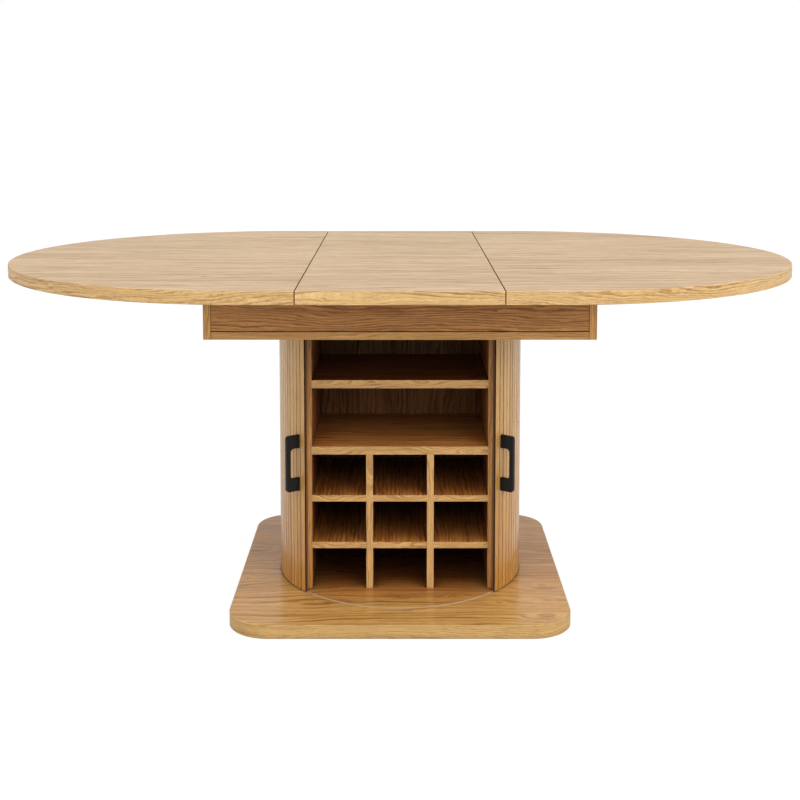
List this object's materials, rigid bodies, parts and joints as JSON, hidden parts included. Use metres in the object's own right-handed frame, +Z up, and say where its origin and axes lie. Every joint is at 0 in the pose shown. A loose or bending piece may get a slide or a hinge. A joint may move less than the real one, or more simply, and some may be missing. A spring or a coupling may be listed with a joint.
{
  "type": "kitchen table with storage cabinet",
  "caption": "Extension dining table with round ends and a lift-out leaf, on a drum-shaped pedestal cabinet with slatted sliding doors, shelves and a bottle rack.",
  "frame": {"origin": "on the floor under the middle of the table", "axes": "+X along the table towards its right end, +Y towards the rear, away from the cabinet's open front, +Z up"},
  "size_m": [1.7598, 1.16, 0.762],
  "materials": {
    "oak_top": "satin",
    "oak_edge_band": "satin",
    "oak_front_band": "satin",
    "oak_base": "gloss",
    "oak_apron": "satin",
    "oak_cabinet": "satin",
    "oak_slat": "satin",
    "beech_dowel": "matte",
    "canvas": "matte",
    "black_rubber": "matte",
    "black_metal": "matte",
    "screw_steel": "satin",
    "track_plastic": "matte",
    "slide_steel": "satin",
    "runner_metal": "satin",
    "felt": "matte"
  },
  "bodies": {
    "cabinet": {"apron_bottom_board": "oak_apron", "apron_dowels": "beech_dowel", "apron_edge_bands": "oak_front_band", "apron_front_rail": "oak_apron", "apron_left_end": "oak_apron", "apron_rear_rail": "oak_apron", "apron_right_end": "oak_apron", "back_panel": "oak_cabinet", "base_edging": "oak_edge_band", "base_plate": "oak_base", "base_screws": "screw_steel", "cabinet_top_screws": "screw_steel", "divider_bands": "oak_front_band", "front_slide_bearer": "oak_apron", "glide_pads": "felt", "left_rack_divider": "oak_cabinet", "left_side_panel": "oak_cabinet", "left_slide_channels": "slide_steel", "lower_shelf": "oak_cabinet", "lower_track": "track_plastic", "rack_board_bands": "oak_front_band", "rack_board_lower_left": "oak_cabinet", "rack_board_lower_middle": "oak_cabinet", "rack_board_lower_right": "oak_cabinet", "rack_board_upper_left": "oak_cabinet", "rack_board_upper_middle": "oak_cabinet", "rack_board_upper_right": "oak_cabinet", "rear_slide_bearer": "oak_apron", "right_rack_divider": "oak_cabinet", "right_side_panel": "oak_cabinet", "right_slide_channels": "slide_steel", "shelf_bands": "oak_front_band", "shelf_dowels": "beech_dowel", "side_panel_bands": "oak_front_band", "slide_channel_screws": "screw_steel", "upper_shelf": "oak_cabinet", "upper_track": "track_plastic"},
    "left_top": {"left_front_runner": "runner_metal", "left_rear_runner": "runner_metal", "left_runner_screws": "screw_steel", "left_top": "oak_top", "left_top_edging": "oak_edge_band"},
    "right_top": {"right_front_runner": "runner_metal", "right_rear_runner": "runner_metal", "right_runner_screws": "screw_steel", "right_top": "oak_top", "right_top_edging": "oak_edge_band"},
    "leaf": {"leaf": "oak_top", "leaf_edging": "oak_edge_band"},
    "left_door": {"left_door_backing": "canvas", "left_door_bumper": "black_rubber", "left_door_handle": "black_metal", "left_door_slats": "oak_slat", "left_handle_screws": "screw_steel"},
    "right_door": {"right_door_backing": "canvas", "right_door_bumper": "black_rubber", "right_door_handle": "black_metal", "right_door_slats": "oak_slat", "right_handle_screws": "screw_steel"}
  },
  "joints": [
    {"name": "left_door_slide", "type": "hinge", "parent": "cabinet", "child": "left_door", "pos_m": [0, 0, 0.332], "axis": [0, 0, 1], "range_deg": [0, 48.5]},
    {"name": "right_door_slide", "type": "hinge", "parent": "cabinet", "child": "right_door", "pos_m": [0, 0, 0.332], "axis": [0, 0, -1], "range_deg": [0, 48.5]},
    {"name": "left_top_slide", "type": "slide", "parent": "cabinet", "child": "left_top", "axis": [-1, 0, 0], "range_m": [0, 0.025]},
    {"name": "right_top_slide", "type": "slide", "parent": "cabinet", "child": "right_top", "axis": [1, 0, 0], "range_m": [0, 0.025]},
    {"name": "leaf_lift", "type": "slide", "parent": "cabinet", "child": "leaf", "axis": [0, 0, 1], "range_m": [0, 0.3]}
  ]
}
